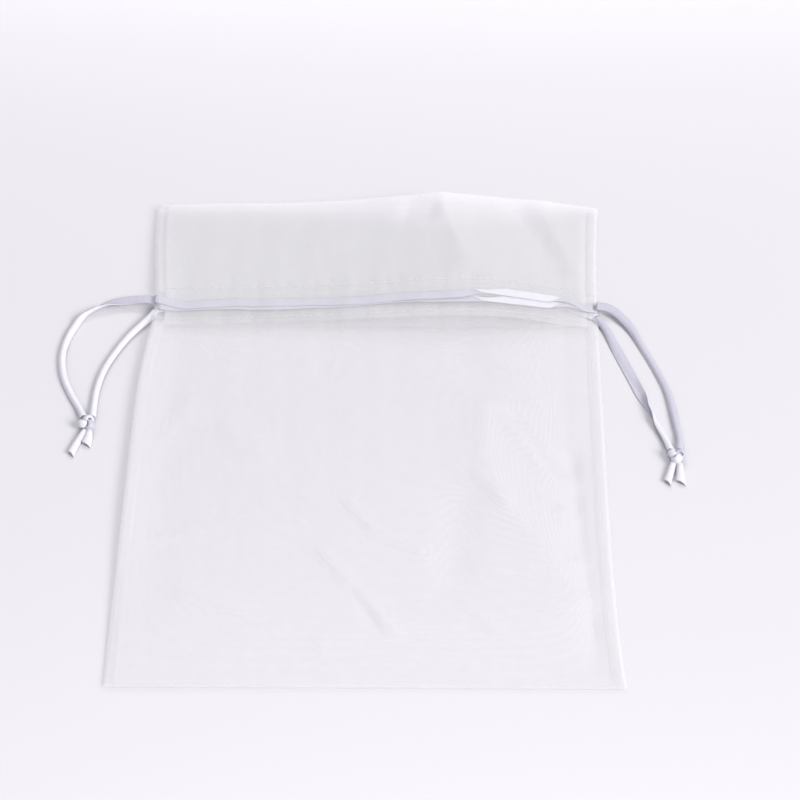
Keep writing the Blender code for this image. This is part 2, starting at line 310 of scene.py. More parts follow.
def free_end(side, wall):
    """One curled end of a ribbon, from the slit to the knot, and the route that it follows."""
    slit = SLIT[side]
    points = [slit + Vector((x, y, z)) * MM + Vector((0, 0, REST_Z))
              for x, y, z in ROUTES[side, wall]]
    path = curve_through(points, STRAND_STEP)
    curls, rolls = CURLS[side, wall], ROLLS[side, wall]
    made = ribbon_along(f"{SIDES[side]}_{wall}_cord", path,
                        lambda share: along(curls, share), lambda share: along(rolls, share))
    return made, path


# %% Make the four free ends
cords = {}
for side in SIDES:
    for wall in ("front", "back"):
        cords[side, wall] = free_end(side, wall)
        print(SIDES[side], wall, "end is", round(1000 * route_length(cords[side, wall][1])), "mm")

# %% [markdown]
# ## Knots
# Each pair of ends is tied in one overhand knot. The path of an overhand knot is a trefoil, so
# the ribbon is swept along a small trefoil and pressed flat. A grid is wrapped round the path
# and its meeting edges are merged, which closes it.

# %% Helper: an overhand knot
KNOT_TURN_STEPS = 84
BAND_STEPS = 12
BAND_WIDTH = 2.3 * MM
BAND_THICKNESS = 1.05 * MM
KNOT_LENGTH = 16 * MM           # ribbon in a knot
KNOT_ROOM = 1.1                 # room for the band at each side of the path, in thicknesses
KNOT_CROWN = 0.6 * MM           # how far the band's outside leans upwards
KNOT_PRESS = 0.86               # how flat the knot is pressed


def knot_line(turn, size, heading):
    """A point of a trefoil that is turned to a heading and fits the knot's size."""
    x = (math.sin(turn) + 2 * math.sin(2 * turn)) / 3
    y = (math.cos(turn) - 2 * math.cos(2 * turn)) / 3
    z = -math.sin(3 * turn)
    x, y = (x * math.cos(heading) - y * math.sin(heading),
            x * math.sin(heading) + y * math.cos(heading))
    room = size - Vector((1, 1, 1)) * BAND_THICKNESS * KNOT_ROOM
    return Vector((x * room.x / 2, y * room.y / 2, z * room.z / 4))


def overhand_knot(name, node, heading):
    low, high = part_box(node)
    middle, size = (low + high) / 2, high - low

    def place(u, v):
        turn = 2 * math.pi * u
        here = knot_line(turn, size, heading)
        ahead = (knot_line(turn + 0.02, size, heading)
                 - knot_line(turn - 0.02, size, heading)).normalized()
        out = (here - ahead * here.dot(ahead) + Vector((0, 0, KNOT_CROWN))).normalized()
        beside = ahead.cross(out)
        round_band = 2 * math.pi * v
        shape = (out * (math.cos(round_band) * BAND_THICKNESS / 2)
                 + beside * (math.sin(round_band) * BAND_WIDTH / 2))
        return middle + Vector((here.x + shape.x, here.y + shape.y,
                                (here.z + shape.z) * KNOT_PRESS))

    made = laid_grid(name, KNOT_TURN_STEPS, BAND_STEPS, place,
                     lambda u, v: (u * KNOT_LENGTH, v * 2 * BAND_WIDTH))
    bm = bmesh.new()
    bm.from_mesh(made.data)
    bmesh.ops.remove_doubles(bm, verts=bm.verts, dist=0.01 * MM)
    bmesh.ops.recalc_face_normals(bm, faces=bm.faces)
    bm.to_mesh(made.data)
    bm.free()
    made.data.shade_smooth()
    return made


# %% Knots and the cut tails below them
KNOT_HEADING = {LEFT: math.radians(35), RIGHT: math.radians(-15)}
# the shares of each knot's ribbon, from and to, that get the darker back satin, painted shade
KNOT_PAINTED_SHADE_SPANS = {LEFT: (0.30, 0.80), RIGHT: (0.05, 0.40)}
TAIL_CURL = 0.6                 # where a tail leaves its knot
TAIL_CUT = 1.2 * MM             # slant of its cut end
TAIL_STEP = 0.5 * MM
# each tail's route from the middle of its knot, in millimetres, its curl at the end, its roll
TAILS = {
    (LEFT, "long"): ([(-0.4, -2.0, 0.3), (-1.6, -5.0, 0.1), (-2.7, -8.0, 0), (-3.5, -10.6, 0)],
                     0.40, -0.46),
    (LEFT, "short"): ([(0.8, -2.0, 0.4), (0.8, -4.0, 0.3), (0.6, -5.8, 0.1), (0.4, -7.2, 0)],
                      0.20, -0.46),
    (RIGHT, "long"): ([(-0.9, -2.0, 0.3), (-1.6, -4.4, 0.1), (-2.3, -6.8, 0), (-2.9, -9.0, 0)],
                      0.40, -0.46),
    (RIGHT, "short"): ([(0.7, -2.2, 0.3), (0.8, -4.6, 0.1), (0.8, -7.0, 0), (0.7, -9.0, 0)],
                       0.25, -0.46),
}


def cut_tail(side, which):
    route, curl, roll = TAILS[side, which]
    low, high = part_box(f"{SIDES[side]}_knot")
    middle = Vector(((low.x + high.x) / 2, (low.y + high.y) / 2, REST_Z))
    path = curve_through([middle + Vector(p) * MM for p in route], TAIL_STEP)
    return ribbon_along(f"{SIDES[side]}_{which}_cut_tail", path,
                        lambda share: mix(TAIL_CURL, curl, share), lambda share: roll,
                        cut=TAIL_CUT)


knots = {}
tails = {}
for side, word in SIDES.items():
    knots[side] = overhand_knot(f"{word}_overhand_knot", f"{word}_knot", KNOT_HEADING[side])
    for which in ("long", "short"):
        tails[side, which] = cut_tail(side, which)
    print(word, "knot has", len(knots[side].data.polygons), "faces")

# %% [markdown]
# ## The lie of the cloth
# The pouch isn't flat: its front wall stands off the back wall in a low puff, the mouth gapes
# a little, and the left edge has lifted off the table. Organza is crisp, so it also keeps
# soft creases. The whole form is one height function of the place on the table. A crease is a
# ridge or a furrow along a short line, and the two stitch rows pull fine puckers.

# %% The puff of the front wall
# each swelling: middle x, middle y, reach along x, reach along y, height, in millimetres
SWELLINGS = [(10, -14, 54, 52, 3.4), (27, 50, 34, 30, 3.0), (21, 88, 32, 25, 3.0)]
BASE_PUFF = 1.0 * MM
BOTTOM_FLAT = 22 * MM
BODY_EDGE_Z = {LEFT: 1.3 * MM, RIGHT: 0.95 * MM}
NECK_EDGE_Z = {LEFT: 2.0 * MM, RIGHT: 1.5 * MM}
EDGE_LIFT = 1.5 * MM            # how high the left edge stands off the table
LIFT_REACH = 14 * MM
BOTTOM_REACH = 70 * MM          # the lift dies away over this much above the bottom corner
MOUTH_REACH = 50 * MM           # and over this much below the top corner
MOUTH_LIFT = 0.1                # share of the lift that is left at the top corner
NECK_BELOW = 18 * MM            # the cloth starts to thicken this much below the lower row
NECK_RISE = 14 * MM             # and has thickened after this much more


def side_edge(side, y):
    """Distance from the middle line to a side edge."""
    if side == LEFT:
        return HALF_WIDTH - LEFT_WAIST * math.exp(-(((y - CHANNEL_Y) / WAIST_REACH) ** 2))
    return HALF_WIDTH - RIGHT_DRAW * (1 - min(abs(y) / MOUTH_Y, 1.0) ** 4)


def table_lift(x, y):
    """How far the whole pouch stands off the table."""
    near_edge = smooth((-x - (HALF_WIDTH - LIFT_REACH)) / LIFT_REACH)
    corners = smooth((y - BOTTOM_Y) / BOTTOM_REACH)
    corners *= mix(MOUTH_LIFT, 1.0, smooth((MOUTH_Y - y) / MOUTH_REACH))
    return EDGE_LIFT * corners * near_edge * near_edge


def puff(x, y):
    total = BASE_PUFF
    for middle_x, middle_y, reach_x, reach_y, height in SWELLINGS:
        across = (x / MM - middle_x) / reach_x
        up = (y / MM - middle_y) / reach_y
        total += height * MM * math.exp(-across * across - up * up)
    return total


# %% Folds and creases
# Folds are sharp on top and fall away slowly: x and y of the points that a fold runs
# through, then its width and height, all in millimetres.
FOLDS = [
    ([(17.5, 92), (21, 77), (26, 61)], 9.0, 1.9),
    ([(31, 3), (30, -16), (37, -35), (47, -50), (55, -62)], 10.0, 2.5),
    ([(60.5, -8), (61, -50), (62, -86)], 3.0, 1.1),
    ([(48, 88), (57, 60)], 4.0, 1.0),
    ([(54, -14), (55, -40), (57, -66), (58, -88)], 2.8, -3.2),
    ([(53, 60), (53, 10), (53, -12)], 3.4, -1.2),
]
# Creases are soft all over: start x and y, end x and y, width, height.
CREASES = [
    (38, 0, 50, -20, 1.5, -0.55), (37, -2, 49, -22, 3.0, 0.45), (41, 86, 52, 62, 4.0, -0.7),
    (52, -20, 55, -24, 2.0, 0.5), (50, -32, 55, -36, 1.8, 0.5), (53, -49, 57, -52, 1.8, 0.45),
    (54, -61, 58, -66, 1.8, 0.4), (-12, -48, -2, -62, 1.8, 0.30), (-2, -62, 8, -75, 1.6, 0.35),
    (-4, -60, 3, -73, 1.3, -0.25), (-12, -76, -8, -89, 1.5, 0.30), (0, -40, 16, -50, 1.6, 0.25),
    (22, -62, 36, -76, 1.4, 0.22), (-6, -31, 1, -41, 1.8, 0.25), (28, -22, 36, -33, 2.0, 0.3),
    (-58, -42, -44, -41, 1.4, 0.20), (-40, -2, -28, -14, 4.0, 0.25), (8, 84, 17, 82, 5.0, -0.4),
    (-50, 8, -58, -12, 3.0, 0.25), (22, 24, 34, 8, 4.0, -0.30), (-48, -60, -30, -66, 3.0, 0.2),
    (24, -30, 22, -60, 5.0, -0.4), (-30, 76, -10, 70, 5.0, 0.2), (34, 24, 46, 4, 3.0, 0.25),
]


def beside(x, y, start, end):
    """Share of the way along a line, and squared distance from it, of a point."""
    run_x, run_y = (end[0] - start[0]) * MM, (end[1] - start[1]) * MM
    out_x, out_y = x - start[0] * MM, y - start[1] * MM
    share = (out_x * run_x + out_y * run_y) / (run_x * run_x + run_y * run_y)
    near = min(max(share, 0.0), 1.0)
    off_x, off_y = out_x - run_x * near, out_y - run_y * near
    return share, off_x * off_x + off_y * off_y


CREASE_DEPTH = 2.1              # all the creases' heights are scaled by this


def crease(x, y, shape):
    x0, y0, x1, y1, width, height = shape
    share, off = beside(x, y, (x0, y0), (x1, y1))
    end = smooth(min(share + 0.3, 1.3 - share) / 0.5)
    return CREASE_DEPTH * height * MM * end * math.exp(-off / (width * MM) ** 2)


CREST = 0.6 * MM                # a fold is rounded over this much


def fold(x, y, points, width, height):
    off = min(beside(x, y, start, end)[1] for start, end in zip(points, points[1:]))
    away = math.sqrt(off + CREST * CREST) - CREST
    return height * MM * math.exp(-away / (width * MM))


# %% Puckers, and the whole front wall
PUCKER = 0.05 * MM
PUCKER_REACH = 5.0 * MM
ROW_DIP = 0.15 * MM
DIP_REACH = 1.0 * MM
WRINKLE = 0.045 * MM
WRINKLE_REACH = 34 * MM


def puckers(x, y):
    """Fine waves that the stitch rows pull into the cloth, and the dip along each row."""
    total = 0.0
    for n, row in enumerate((UPPER_ROW_Y, LOWER_ROW_Y)):
        off = y - row
        total -= ROW_DIP * math.exp(-(off / DIP_REACH) ** 2)
        wave = math.sin(x / MM * 1.55 + 2.1 * n) + 0.7 * math.sin(x / MM * 0.83 + 1.3 + n)
        total += PUCKER * wave * math.exp(-(off / PUCKER_REACH) ** 2)
    return total


def wrinkles(x, y):
    """Low, wide waves that run up the cloth, strongest at the neck."""
    neck = math.exp(-(((y - CHANNEL_Y) / WRINKLE_REACH) ** 2))
    wave = math.sin(x / MM * 0.62 + 0.8 * math.sin(y / MM * 0.05))
    wave += 0.8 * math.sin(x / MM * 0.31 + y / MM * 0.06 + 1.0)
    return WRINKLE * wave * (0.35 + neck)


def front_height(x, y):
    """Height of the front wall."""
    side = LEFT if x < 0 else RIGHT
    share = min(abs(x) / side_edge(side, y), 1.0)
    across = 1 - share ** 6
    up = smooth((y - BOTTOM_Y) / BOTTOM_FLAT)
    neck = smooth((y - LOWER_ROW_Y + NECK_BELOW) / NECK_RISE)
    shape = puff(x, y) + wrinkles(x, y)
    shape += sum(crease(x, y, c) for c in CREASES) + sum(fold(x, y, *f) for f in FOLDS)
    from_left = smooth((x + HALF_WIDTH) / (2 * HALF_WIDTH))
    edge = mix(mix(BODY_EDGE_Z[LEFT], BODY_EDGE_Z[RIGHT], from_left),
               mix(NECK_EDGE_Z[LEFT], NECK_EDGE_Z[RIGHT], from_left), neck)
    return table_lift(x, y) + edge + across * up * shape + across * puckers(x, y)


print("front wall at its middle:", round(1000 * front_height(0.0, 0.0), 1), "mm")

# %% [markdown]
# ## Cloth
# Each half of the pouch is made on its own, because the drawstring pulls the two sides of the
# neck towards each other, and each half has to follow its own side. A half is one long strip
# of cloth: down the front wall, round the bottom fold and up the back wall. The header is a
# second strip, which goes up the outside, over the mouth and down inside as the facing. Lines
# of the grid lie close together at the edges and folds, where the cloth turns sharply.

# %% Grid lines across a half, and round its side edge
EDGE_ROUND = {LEFT: 1.3 * MM, RIGHT: 2.2 * MM}      # the walls turn into each other over this
EDGE_MIDDLE = 0.65 * MM         # height of the side edge above the table
EDGE_LINES = [0.0, 0.03, 0.1, 0.22, 0.4, 0.65, 0.95, 1.3]       # in millimetres from the edge
CELL = 0.95 * MM
FOLD_CELLS = 10                 # round the bottom fold
MOUTH_CELLS = 8                 # round a mouth fold


def lines(start, end, spacing):
    count = max(round(abs(end - start) / spacing), 1)
    return [mix(start, end, n / count) for n in range(count + 1)]


EDGE_END = EDGE_LINES[-1] * MM
ACROSS_LINES = [value * MM for value in EDGE_LINES] + lines(EDGE_END, HALF_WIDTH, CELL)[1:]


def edge_turn(side, distance):
    """0 at the side edge, 1 where the walls have parted."""
    left = 1 - min(distance / EDGE_ROUND[side], 1.0)
    return 1 - left * left


# %% A half-width strip of cloth
def half_strip(name, side, stations, at):
    """A strip from a side edge to the middle line. The stations are lengths along the flat cloth,
    and at(side, distance from the edge, station) is a point, its x measured from the middle."""
    columns, rows = len(ACROSS_LINES) - 1, len(stations) - 1

    def place(u, v):
        distance = ACROSS_LINES[round(u * columns)]
        x, y, z = at(side, distance, stations[round(v * rows)])
        return side * x, y, z

    def flat(u, v):
        distance = ACROSS_LINES[round(u * columns)]
        return side * (HALF_WIDTH - distance), stations[round(v * rows)]

    return laid_grid(name, columns, rows, place, flat)


def from_middle(side, y, distance, inset=0.0):
    """Distance from the middle line of a point that lies so far in from the side edge."""
    return (side_edge(side, y) - inset) * (1 - distance / HALF_WIDTH)


# %% The body: front wall, bottom fold and back wall in one
BACK_Z = 0.12 * MM              # height of the back wall
BODY_LENGTH = LOWER_ROW_Y - BOTTOM_Y
FOLD_RADIUS = (BODY_EDGE_Z[RIGHT] - BACK_Z) / 2
FOLD_LENGTH = math.pi * FOLD_RADIUS
FOLD_START = BODY_LENGTH - FOLD_RADIUS
BODY_STATIONS = (lines(0, FOLD_START, CELL)
                 + lines(FOLD_START, FOLD_START + FOLD_LENGTH, FOLD_LENGTH / FOLD_CELLS)[1:]
                 + lines(FOLD_START + FOLD_LENGTH, 2 * FOLD_START + FOLD_LENGTH, 2 * CELL)[1:])


def body_at(side, distance, station):
    turned = edge_turn(side, distance)
    if station <= FOLD_START:
        y = LOWER_ROW_Y - station
    elif station < FOLD_START + FOLD_LENGTH:
        turn = math.pi * (station - FOLD_START) / FOLD_LENGTH
        y = BOTTOM_Y + FOLD_RADIUS * (1 - math.sin(turn))
        middle = BACK_Z + FOLD_RADIUS
        x = from_middle(side, y, distance)
        top = table_lift(side * x, y)
        return x, y, top + mix(EDGE_MIDDLE, middle + FOLD_RADIUS * math.cos(turn), turned)
    else:
        y = BOTTOM_Y + FOLD_RADIUS + station - FOLD_START - FOLD_LENGTH
    x = from_middle(side, y, distance)
    lift = table_lift(side * x, y)
    height = front_height(side * x, y) if station <= FOLD_START else lift + BACK_Z
    return x, y, mix(lift + EDGE_MIDDLE, height, turned)


body_cloth = {}
for side, word in SIDES.items():
    body_cloth[side] = half_strip(f"body_cloth_{word}", side, BODY_STATIONS, body_at)
    print(word, "body cloth has", len(body_cloth[side].data.polygons), "faces")

# %% The header walls, each with its mouth fold and facing
FACING_DROP = 0.85 * MM         # front facing under the front wall
BACK_FACING_Z = 1.15 * MM
FACING_INSET = 3.3 * MM         # a facing is this much narrower at each side
OUTER_LENGTH = MOUTH_Y - LOWER_ROW_Y
FACING_LENGTH = MOUTH_Y - FACING_END_Y


def header_stations(radius):
    over = math.pi * radius
    start = OUTER_LENGTH - radius
    return (lines(0, start, CELL) + lines(start, start + over, over / MOUTH_CELLS)[1:]
            + lines(start + over, start + over + FACING_LENGTH - radius, CELL)[1:])


def header_at(front):
    """Places one header wall: outside up, over the mouth and down inside."""
    radius = (FACING_DROP if front else BACK_FACING_Z - BACK_Z) / 2
    start, over = OUTER_LENGTH - radius, math.pi * radius

    def outer_z(side, x, y):
        return front_height(side * x, y) if front else table_lift(side * x, y) + BACK_Z

    def at(side, distance, station):
        down = -1 if front else 1       # the facing lies below the front wall, above the back
        if station <= start:
            y, turn = LOWER_ROW_Y + station, 0.0
        elif station < start + over:
            turn = math.pi * (station - start) / over
            y = MOUTH_Y - radius * (1 - math.sin(turn))
        else:
            y, turn = MOUTH_Y - radius - (station - start - over), math.pi
        inset = FACING_INSET * smooth(turn / math.pi)
        x = from_middle(side, y, distance, inset)
        drop = down * radius * (1 - math.cos(turn))
        edge = table_lift(side * x, y) + EDGE_MIDDLE
        turned = edge_turn(side, distance + inset)
        return x, y, mix(edge, outer_z(side, x, y) + drop, turned)

    return at, header_stations(radius)


headers = {}
for side, word in SIDES.items():
    for wall in ("front", "back"):
        at, stations = header_at(wall == "front")
        headers[side, wall] = half_strip(f"{wall}_header_{word}", side, stations, at)
        print(wall, word, "header has", len(headers[side, wall].data.polygons), "faces")

# %% [markdown]
# ## Side seams
# The cut edges of the walls are turned in along each side and sewn, so a narrow band of extra
# cloth shows through as a paler stripe. It stops at the channel, where a slit lets the
# ribbon out.

# %% Seam allowances
SEAM_Z = 0.5 * MM
EDGE_GAP = 0.25 * MM            # between an allowance and the side edge
SEAM_CELL = 1.5 * MM
SEAM_SPANS = {"body": (BOTTOM_Y + 1.5 * MM, LOWER_ROW_Y),
              "header": (UPPER_ROW_Y, MOUTH_Y - 1 * MM)}


def seam_allowance(side, part):
    start, end = SEAM_SPANS[part]
    rows = max(round((end - start) / SEAM_CELL), 1)

    def place(u, v):
        y = mix(start, end, v)
        x = side_edge(side, y) - EDGE_GAP - SEAM_WIDTH * u
        return side * x, y, table_lift(side * x, y) + SEAM_Z

    def flat(u, v):
        return u * SEAM_WIDTH, mix(start, end, v)

    return laid_grid(f"{SIDES[side]}_{part}_allowance", 4, rows, place, flat)


allowances = {(side, part): seam_allowance(side, part) for side in SIDES for part in SEAM_SPANS}
print(len(allowances), "seam allowances")

# %% [markdown]
# ## Stitches
# A row of machine stitches is a line of short thread lengths, each diving into the cloth at
# its ends. One small ball, stretched along the row, makes a stitch. There are hundreds, so
# each has only a few dozen faces.

# %% Rows of stitches
STITCH_PITCH = 1.8 * MM
STITCH_LENGTH = 1.6 * MM
STITCH_SHARE = 0.06             # of the pitch, bare at each end of a stitch
THREAD_WIDTH = 0.12 * MM


def stitch_row(name, start, end, at):
    """Stitches between two places along a row. at(place) is a point of the row."""
    bm = bmesh.new()
    count = max(int(abs(end - start) / STITCH_PITCH), 1)
    for n in range(count):
        first = at(mix(start, end, (n + STITCH_SHARE) / count))
        second = at(mix(start, end, (n + 1 - STITCH_SHARE) / count))
        line = second - first
        turned = line.to_track_quat("X", "Z").to_matrix().to_4x4()
        size = Matrix.Diagonal((max(line.length, STITCH_LENGTH), THREAD_WIDTH, THREAD_WIDTH, 1))
        bmesh.ops.create_uvsphere(bm, u_segments=6, v_segments=5, radius=0.5,
                                  matrix=Matrix.Translation((first + second) / 2)
                                  @ turned @ size @ Matrix.Rotation(math.pi / 2, 4, "Y"))
    return new_piece(name, bm)


def channel_row(side, wall, y):
    def at(x):
        if wall == "front":
            return Vector((side * x, y, front_height(side * x, y) + THREAD_WIDTH * 0.1))
        return Vector((side * x, y, table_lift(side * x, y) + BACK_Z))
    return at


# %% Make the stitch rows
ROWS_Y = {"upper": UPPER_ROW_Y, "lower": LOWER_ROW_Y}
ROW_START = 0.3 * MM            # from the middle line
ROW_END = 1.5 * MM              # from the side edge
channel_stitches = {}
for side, word in SIDES.items():
    for wall in ("front", "back"):
        for row, y in ROWS_Y.items():
            channel_stitches[side, wall, row] = stitch_row(
                f"{wall}_{row}_thread_{word}", ROW_START, side_edge(side, y) - ROW_END,
                channel_row(side, wall, y))


def seam_row(side):
    def at(y):
        x = side * (side_edge(side, y) - SEAM_WIDTH + SEAM_LINE)
        return Vector((x, y, table_lift(x, y) + SEAM_Z + THREAD_WIDTH / 2))
    return at


seam_stitches = {}
for side, word in SIDES.items():
    for part, (start, end) in SEAM_SPANS.items():
        seam_stitches[side, part] = stitch_row(f"{word}_{part}_thread", start, end, seam_row(side))
print(len(channel_stitches) + len(seam_stitches), "rows of stitches")

# %% [markdown]
# ## Drawstrings in the channel
# Each ribbon runs flat along the front wall, turns inside the far side seam and comes back
# along the back wall, hidden behind its front run. Near the right side the front runs have
# flipped over, aslant, so their bright faces show through the cloth there and their dull backs,
# whose darker colour is painted shade, show elsewhere.

# %% Ribbon runs
RIBBON_DROP = {LEFT: 0.36 * MM, RIGHT: 0.62 * MM}       # under the front wall
RIBBON_SHIFT = {LEFT: -2.7 * MM, RIGHT: -0.1 * MM}      # the two lie over each other
PART_START, PART_END, PART_LENGTH = 0.023, 0.052, 0.008
PARTING = {LEFT: 1.9 * MM, RIGHT: 0.2 * MM}             # but part where they have turned over
BACK_SHIFT = {LEFT: -4.6 * MM, RIGHT: -2.4 * MM}        # where the back run reaches the slit
BACK_RIBBON_Z = 0.62 * MM
BACK_ROOM = 2.4 * MM            # between a back run's middle and the upper stitches
RUN_STEP = 0.7 * MM
FLIP_START, FLIP_END, FLIP_LENGTH = 0.0270, 0.0500, 0.0080
FLIP_SLANT = 1.8                # a flip runs aslant: this far along for each step across
FLIP_RISE = 0.12                # a flip is pressed down to this share of its height
SLIT_EASE = 0.2                 # last share of the half width, where a run moves to its slit
FAR_GAP = 1.2 * MM              # between a run's far turn and the side edge
TURN_DEPTH = 1 * MM
TURN_STEPS = 8
print("runs turn over from", round(1000 * FLIP_START), "to", round(1000 * FLIP_END), "mm")


# %% The lines that the runs follow
def near_slit(side, x):
    """0 along the channel, 1 at the ribbon's own slit."""
    return smooth((side * x - (1 - SLIT_EASE) * HALF_WIDTH) / (SLIT_EASE * HALF_WIDTH))


def ribbon_line(side, y, x):
    """The middle of a front run, which isn't quite straight."""
    share = x / HALF_WIDTH
    sway = 0.3 * MM * math.sin(7 * share + side) + 0.15 * MM * math.sin(17 * share)
    parted = smooth((x - PART_START) / PART_LENGTH) - smooth((x - PART_END) / PART_LENGTH)
    inside = RIBBON_SHIFT[side] + sway + PARTING[side] * parted
    return y + mix(inside, ROUTES[side, "front"][0][1] * MM, near_slit(side, x))


def back_line(side, y, x):
    """The middle of a back run. It lies higher up the back wall, hidden by the front run."""
    behind = ribbon_line(side, y, x) + front_height(x, y) - table_lift(x, y) - BACK_RIBBON_Z
    return mix(min(behind, UPPER_ROW_Y - BACK_ROOM), y + BACK_SHIFT[side], near_slit(side, x))


def run_path(side):
    """The front run, the turn at the far side and the back run."""
    y = RIBBON_Y[side]
    near = side * side_edge(side, y)
    far = -side * (side_edge(-side, y) - FAR_GAP)
    bend = far + side * TURN_DEPTH
    front = [Vector((x, ribbon_line(side, y, x), front_height(x, y) - RIBBON_DROP[side]))
             for x in lines(near, bend, RUN_STEP)]
    back = [Vector((x, back_line(side, y, x), table_lift(x, y) + BACK_RIBBON_Z))
            for x in lines(bend, near, 2 * RUN_STEP)]
    turn = []
    for n in range(1, TURN_STEPS):
        angle = math.pi * n / TURN_STEPS
        turn.append(Vector((far + side * TURN_DEPTH * (1 - math.sin(angle)),
                            mix(front[-1].y, back[0].y, n / TURN_STEPS),
                            mix(front[-1].z, back[0].z, (1 - math.cos(angle)) / 2))))
    return front, turn, back


# %% Helper: a drawstring
def drawstring(side):
    front, turn, back = run_path(side)
    path = front + turn + back
    total = route_length(path)

    def flipped(n, wide):
        """How far over the ribbon has turned at a point of its path, in turns."""
        if n >= len(front):
            return 0.0
        x = path[n].x + FLIP_SLANT * wide
        start = smooth((x - FLIP_START) / FLIP_LENGTH)
        return 0.5 * (start - smooth((x - FLIP_END) / FLIP_LENGTH))

    last = len(path) - 1

    def place(u, v):
        n = round(u * last)
        ahead = (path[min(n + 1, last)] - path[max(n - 1, 0)]).normalized()
        side_way = Vector((0, 1, 0))
        above = ahead.cross(side_way).normalized() * (1 if side < 0 else -1)
        wide = (v - 0.5) * RIBBON_WIDTH
        turned = 2 * math.pi * flipped(n, wide)
        return (path[n] + side_way * (wide * math.cos(turned))
                + above * (wide * math.sin(turned) * FLIP_RISE))

    made = laid_grid(f"{SIDES[side]}_ribbon_run", last, ACROSS, place,
                     lambda u, v: (u * total, v * RIBBON_WIDTH))
    return two_sided(made), total


# %% Make the two drawstrings
runs = {}
for side, word in SIDES.items():
    runs[side], total = drawstring(side)
    print(word, "ribbon run is", round(1000 * total), "mm")

# %% [markdown]
# ## Shared effects
# The cloth, the ribbon and the thread are all woven or twisted from fine yarn. One shader
# group draws two sets of lines over the flat cloth, counted per metre, and gives a mask of
# where there is yarn, a height for the bump, and the streaks of thicker and thinner yarns.

# %% Shader group: fine weave
def add_node(tree, kind, **values):
    node = tree.nodes.new(kind)
    for name, value in values.items():
        setattr(node, name, value)
    return node


def make_weave():
    group = bpy.data.node_groups.new("fine_weave", "ShaderNodeTree")
    for name, low, high, start in (("Lines Across", 0, 1e5, 3500.0),
                                   ("Lines Along", 0, 1e5, 3500.0),
                                   ("Yarn Share", 0, 1, 0.5), ("Unevenness", 0, 1, 0.3)):
        socket = group.interface.new_socket(name=name, in_out="INPUT",
                                            socket_type="NodeSocketFloat")
        socket.min_value, socket.max_value, socket.default_value = low, high, start
    for name in ("Yarn", "Height", "Streaks"):
        group.interface.new_socket(name=name, in_out="OUTPUT", socket_type="NodeSocketFloat")
    given = add_node(group, "NodeGroupInput")
    out = add_node(group, "NodeGroupOutput")
    link = group.links.new

    def math_node(operation, a, b=None):
        node = add_node(group, "ShaderNodeMath", operation=operation)
        for socket, value in zip(node.inputs, (a, b)):
            if value is None:
                continue
            if isinstance(value, (int, float)):
                socket.default_value = value
            else:
                link(value, socket)
        return node.outputs[0]

    flat = add_node(group, "ShaderNodeUVMap", uv_map="cloth")
    parts = add_node(group, "ShaderNodeSeparateXYZ")
    link(flat.outputs[0], parts.inputs[0])
    streaks = []
    for stretch in ((2600.0, 60.0, 1.0), (60.0, 2600.0, 1.0)):
        mapping = add_node(group, "ShaderNodeMapping")
        mapping.inputs["Scale"].default_value = stretch
        noise = add_node(group, "ShaderNodeTexNoise")
        noise.inputs["Scale"].default_value = 1.0
        noise.inputs["Detail"].default_value = 1.0
        link(flat.outputs[0], mapping.inputs["Vector"])
        link(mapping.outputs[0], noise.inputs["Vector"])
        streaks.append(math_node("SUBTRACT", noise.outputs[0], 0.5))
    yarns = []
    for axis, spacing, streak in (("X", "Lines Across", streaks[0]),
                                  ("Y", "Lines Along", streaks[1])):
        turn = math_node("MULTIPLY", parts.outputs[axis], given.outputs[spacing])
        wave = math_node("SINE", math_node("MULTIPLY", turn, 2 * math.pi))
        wave = math_node("ADD", math_node("MULTIPLY", wave, 0.5), given.outputs["Yarn Share"])
        uneven = math_node("MULTIPLY", streak, given.outputs["Unevenness"])
        yarns.append(math_node("ADD", wave, math_node("MULTIPLY", uneven, 2.0)))
    top = math_node("MAXIMUM", yarns[0], yarns[1])
    soft = add_node(group, "ShaderNodeMapRange", interpolation_type="SMOOTHSTEP")
    soft.inputs["From Min"].default_value = 0.35
    soft.inputs["From Max"].default_value = 0.65
    link(top, soft.inputs["Value"])
    link(soft.outputs["Result"], out.inputs["Yarn"])
    link(top, out.inputs["Height"])
    link(math_node("ADD", math_node("ADD", streaks[0], streaks[1]), 0.5), out.inputs["Streaks"])
    return group


weave = make_weave()
print("weave group has", len(weave.nodes), "nodes")

# %% [markdown]
# ## Materials
# Organza is a sheer plain weave of fine, hard yarn: the eye sees the table through the gaps,
# so the weave's mask drives Alpha between its gaps and its yarn. Satin has long floats of yarn
# that run one way, so it is bright on its face and duller on its back; the back's darker colour
# is painted shade. Thread is matt.

# %% Helpers: a material with a weave
def new_material(name, colour, roughness):
    made = bpy.data.materials.new(name)
    made.use_nodes = True
    shader = made.node_tree.nodes["Principled BSDF"]
    shader.inputs["Base Color"].default_value = (*colour, 1.0)
    shader.inputs["Roughness"].default_value = roughness
    return made, shader


def add_weave(made, across, along_it, share, unevenness):
    node = add_node(made.node_tree, "ShaderNodeGroup", node_tree=weave)
    for name, value in (("Lines Across", across), ("Lines Along", along_it),
                        ("Yarn Share", share), ("Unevenness", unevenness)):
        node.inputs[name].default_value = value
    return node


def between(made, mask, low, high, socket):
    """Feeds a socket a value that goes from low to high with a mask."""
    node = add_node(made.node_tree, "ShaderNodeMapRange")
    node.inputs["To Min"].default_value = low
    node.inputs["To Max"].default_value = high
    made.node_tree.links.new(mask, node.inputs["Value"])
    made.node_tree.links.new(node.outputs["Result"], socket)


